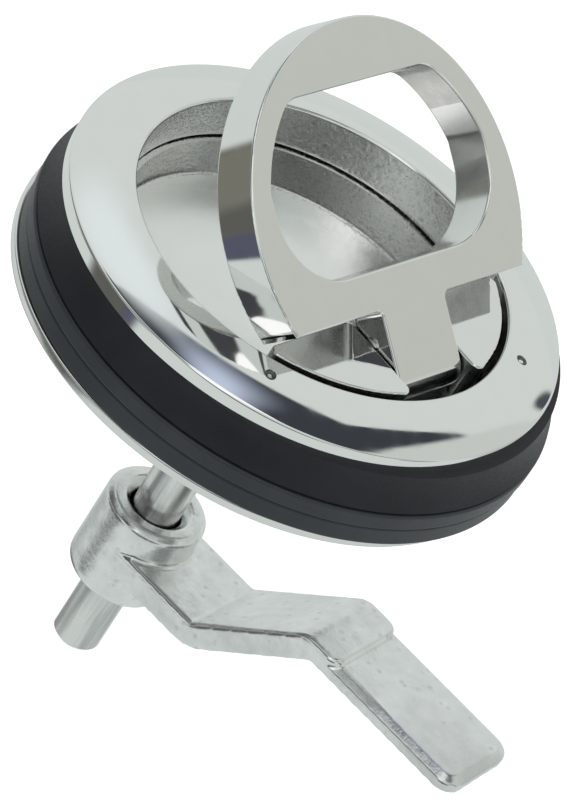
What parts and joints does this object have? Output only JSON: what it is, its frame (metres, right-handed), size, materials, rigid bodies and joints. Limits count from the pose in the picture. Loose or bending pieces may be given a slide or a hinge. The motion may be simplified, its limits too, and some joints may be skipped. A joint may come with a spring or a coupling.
{
  "type": "flush pull latch",
  "caption": "Round flush pull latch for a hatch: a ring handle lifts from a turning cup, lowers the spindle and swings a cranked cam arm a quarter turn.",
  "frame": {"origin": "on the spindle's axis, in the plane of the flange's underside", "axes": "+Z out of the panel along the spindle's axis, +X towards the handle's hinge"},
  "size_m": [0.1024, 0.0806, 0.1118],
  "materials": {
    "polished_steel": "mirror polished stainless casting",
    "cup_steel": "polished floor and block, rough cast walls",
    "handle_steel": "polished stainless casting, brushed inside the finger hole",
    "bright_nut": "fine turned and polished",
    "cast_steel": "as cast, tumbled",
    "cam_steel": "cast and tumbled, satin",
    "turned_steel": "turned",
    "spring_steel": "plain spring steel",
    "black_rubber": "matt moulded rubber",
    "grey_washer": "smooth dark grey plastic",
    "bearing_plastic": "natural bearing plastic"
  },
  "bodies": {
    "housing": {"flange_body": "polished_steel", "thick_gasket": "black_rubber", "upper_washer": "grey_washer", "lower_washer": "grey_washer", "clamp_nut": "bright_nut", "back_cover": "cast_steel", "retaining_ring": "spring_steel", "thrust_washer": "bearing_plastic", "stop_pin": "turned_steel", "spindle_bush": "bearing_plastic", "shaft_seal": "black_rubber"},
    "cup": {"turning_cup": "cup_steel", "cup_seal": "black_rubber", "hinge_pin": "turned_steel", "rocker_pin": "turned_steel"},
    "handle": {"ring_handle": "handle_steel", "link_pin": "turned_steel"},
    "link": {"pull_link": "turned_steel"},
    "rocker_lever": {"rocker": "cast_steel", "rocker_link_pin": "turned_steel"},
    "bolt": {"spindle": "turned_steel", "cross_pin": "turned_steel", "cam_arm": "cam_steel", "cam_screw": "spring_steel"}
  },
  "joints": [
    {"name": "quarter_turn", "type": "hinge", "parent": "housing", "child": "cup", "pos_m": [0, 0, 0], "axis": [0, 0, 1], "range_deg": [0, 90]},
    {"name": "handle_lift", "type": "hinge", "parent": "cup", "child": "handle", "pos_m": [0.02165, 0, 0.00105], "axis": [0, 1, 0], "range_deg": [-36, 9]},
    {"name": "link_swing", "type": "hinge", "parent": "handle", "child": "link", "pos_m": [0.01736, 0, 0.00417], "axis": [0, 1, 0], "range_deg": [-8.1, 32.4]},
    {"name": "rocker_tilt", "type": "hinge", "parent": "cup", "child": "rocker_lever", "pos_m": [0.0074, 0, -0.01678], "axis": [0, 1, 0], "range_deg": [-4.63, 18.54]},
    {"name": "spindle_stroke", "type": "slide", "parent": "cup", "child": "bolt", "axis": [0, 0, 1], "range_m": [-0.0006, 0.00239]}
  ],
  "couplings": [
    {"joint": "link_swing", "follows": "handle_lift", "ratio": -0.9},
    {"joint": "rocker_tilt", "follows": "handle_lift", "ratio": -0.515},
    {"joint": "spindle_stroke", "follows": "handle_lift", "m_per_rad": -0.0038}
  ]
}
